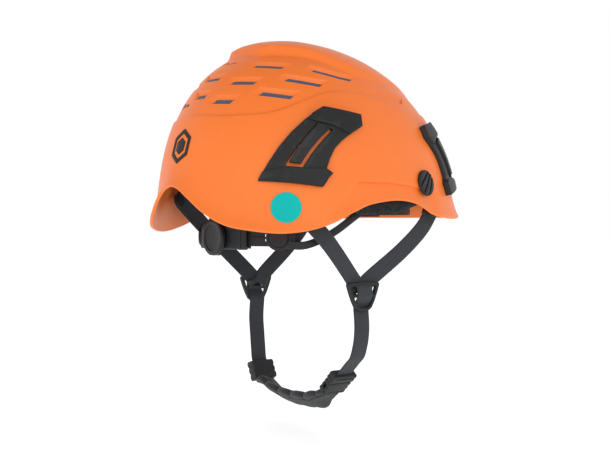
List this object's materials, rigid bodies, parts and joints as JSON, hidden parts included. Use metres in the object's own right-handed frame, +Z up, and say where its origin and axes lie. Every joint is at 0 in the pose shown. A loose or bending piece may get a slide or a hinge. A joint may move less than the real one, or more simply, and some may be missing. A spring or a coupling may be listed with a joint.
{
  "type": "arborist helmet",
  "caption": "Vented hard-shell climbing helmet with crest, headlamp clips, foam liner, dial-adjusted nape band and Y-strap chin harness.",
  "frame": {"origin": "centre of the head opening, in the plane of the brim", "axes": "+Z up through the crown, -Y to the front (brim), +X to the wearer's left"},
  "size_m": [0.2208, 0.2832, 0.3194],
  "materials": {
    "shell_orange": "satin moulded ABS",
    "vent_mesh": "fine insect mesh",
    "liner_foam": "expanded bead foam",
    "comfort_pad": "knitted pad cloth",
    "chin_pad_fabric": "moulded soft pad",
    "webbing": "woven polyester webbing",
    "disc_teal": "smooth round sticker",
    "plastic_black": "fine-grained moulded nylon",
    "steel": "turned pin"
  },
  "bodies": {
    "shell": {"outer_shell": "shell_orange", "vent_mesh": "vent_mesh", "impact_liner": "liner_foam", "crown_pad": "comfort_pad", "headband_front": "plastic_black", "sweatband": "comfort_pad", "clip_frame_rear_left": "plastic_black", "clip_frame_rear_right": "plastic_black", "clip_frame_front_left": "plastic_black", "clip_frame_front_right": "plastic_black", "accessory_plug_left": "plastic_black", "accessory_plug_right": "plastic_black", "strap_anchors": "plastic_black", "temple_pins": "steel", "id_disc": "disc_teal", "rear_emblem": "plastic_black", "strap_front_left": "webbing", "strap_front_right": "webbing", "strap_rear_left": "webbing", "strap_rear_right": "webbing", "divider_left": "plastic_black", "divider_right": "plastic_black"},
    "tongue_rear_left": {"clip_tongue_rear_left": "plastic_black"},
    "tongue_rear_right": {"clip_tongue_rear_right": "plastic_black"},
    "tongue_front_left": {"clip_tongue_front_left": "plastic_black"},
    "tongue_front_right": {"clip_tongue_front_right": "plastic_black"},
    "nape_frame": {"side_arm_left": "plastic_black", "side_arm_right": "plastic_black", "adjuster_housing": "plastic_black", "housing_cover": "plastic_black", "nape_pad": "comfort_pad", "rack_rivets": "plastic_black"},
    "dial": {"dial_knob": "plastic_black", "pinion": "steel"},
    "rack_left": {"rack_left": "plastic_black"},
    "rack_right": {"rack_right": "plastic_black"},
    "chin": {"chin_web_left": "webbing", "chin_web_right": "webbing", "chin_adjuster": "plastic_black", "chin_pad": "chin_pad_fabric", "buckle_female": "plastic_black"},
    "buckle_male": {"buckle_male": "plastic_black"}
  },
  "joints": [
    {"name": "clip_flex_rear_left", "type": "hinge", "parent": "shell", "child": "tongue_rear_left", "pos_m": [0.09523, 0.04067, 0.07235], "axis": [0.395, -0.9187, 0], "range_deg": [0, 12], "stiffness_Nm_per_rad": 0.6},
    {"name": "clip_flex_rear_right", "type": "hinge", "parent": "shell", "child": "tongue_rear_right", "pos_m": [-0.09523, 0.04067, 0.07235], "axis": [0.395, 0.9187, 0], "range_deg": [0, 12], "stiffness_Nm_per_rad": 0.6},
    {"name": "clip_flex_front_left", "type": "hinge", "parent": "shell", "child": "tongue_front_left", "pos_m": [0.0782, -0.10143, 0.06732], "axis": [-0.5462, -0.8376, 0], "range_deg": [0, 12], "stiffness_Nm_per_rad": 0.6},
    {"name": "clip_flex_front_right", "type": "hinge", "parent": "shell", "child": "tongue_front_right", "pos_m": [-0.0782, -0.10143, 0.06732], "axis": [-0.5462, 0.8376, 0], "range_deg": [0, 12], "stiffness_Nm_per_rad": 0.6},
    {"name": "nape_tilt", "type": "hinge", "parent": "shell", "child": "nape_frame", "pos_m": [0, -0.022, 0.011], "axis": [1, 0, 0], "range_deg": [-10, 12]},
    {"name": "dial_turn", "type": "hinge", "parent": "nape_frame", "child": "dial", "pos_m": [0, 0.08, -0.016], "axis": [0, 1, 0], "range_deg": [-120, 120]},
    {"name": "rack_left_travel", "type": "hinge", "parent": "nape_frame", "child": "rack_left", "pos_m": [0, -0.004, -0.016], "axis": [0, 0, 1], "range_deg": [-7, 7]},
    {"name": "rack_right_travel", "type": "hinge", "parent": "nape_frame", "child": "rack_right", "pos_m": [0, -0.004, -0.016], "axis": [0, 0, 1], "range_deg": [-7.2, 7.2]},
    {"name": "chin_swing", "type": "hinge", "parent": "shell", "child": "chin", "pos_m": [0, -0.017, -0.0765], "axis": [1, 0, 0], "range_deg": [-25, 25]},
    {"name": "buckle_release", "type": "slide", "parent": "chin", "child": "buckle_male", "axis": [-0.7431, 0, 0.6691], "range_m": [0, 0.022]}
  ],
  "couplings": [
    {"joint": "rack_left_travel", "follows": "dial_turn", "ratio": -0.057692},
    {"joint": "rack_right_travel", "follows": "dial_turn", "ratio": 0.059445}
  ]
}
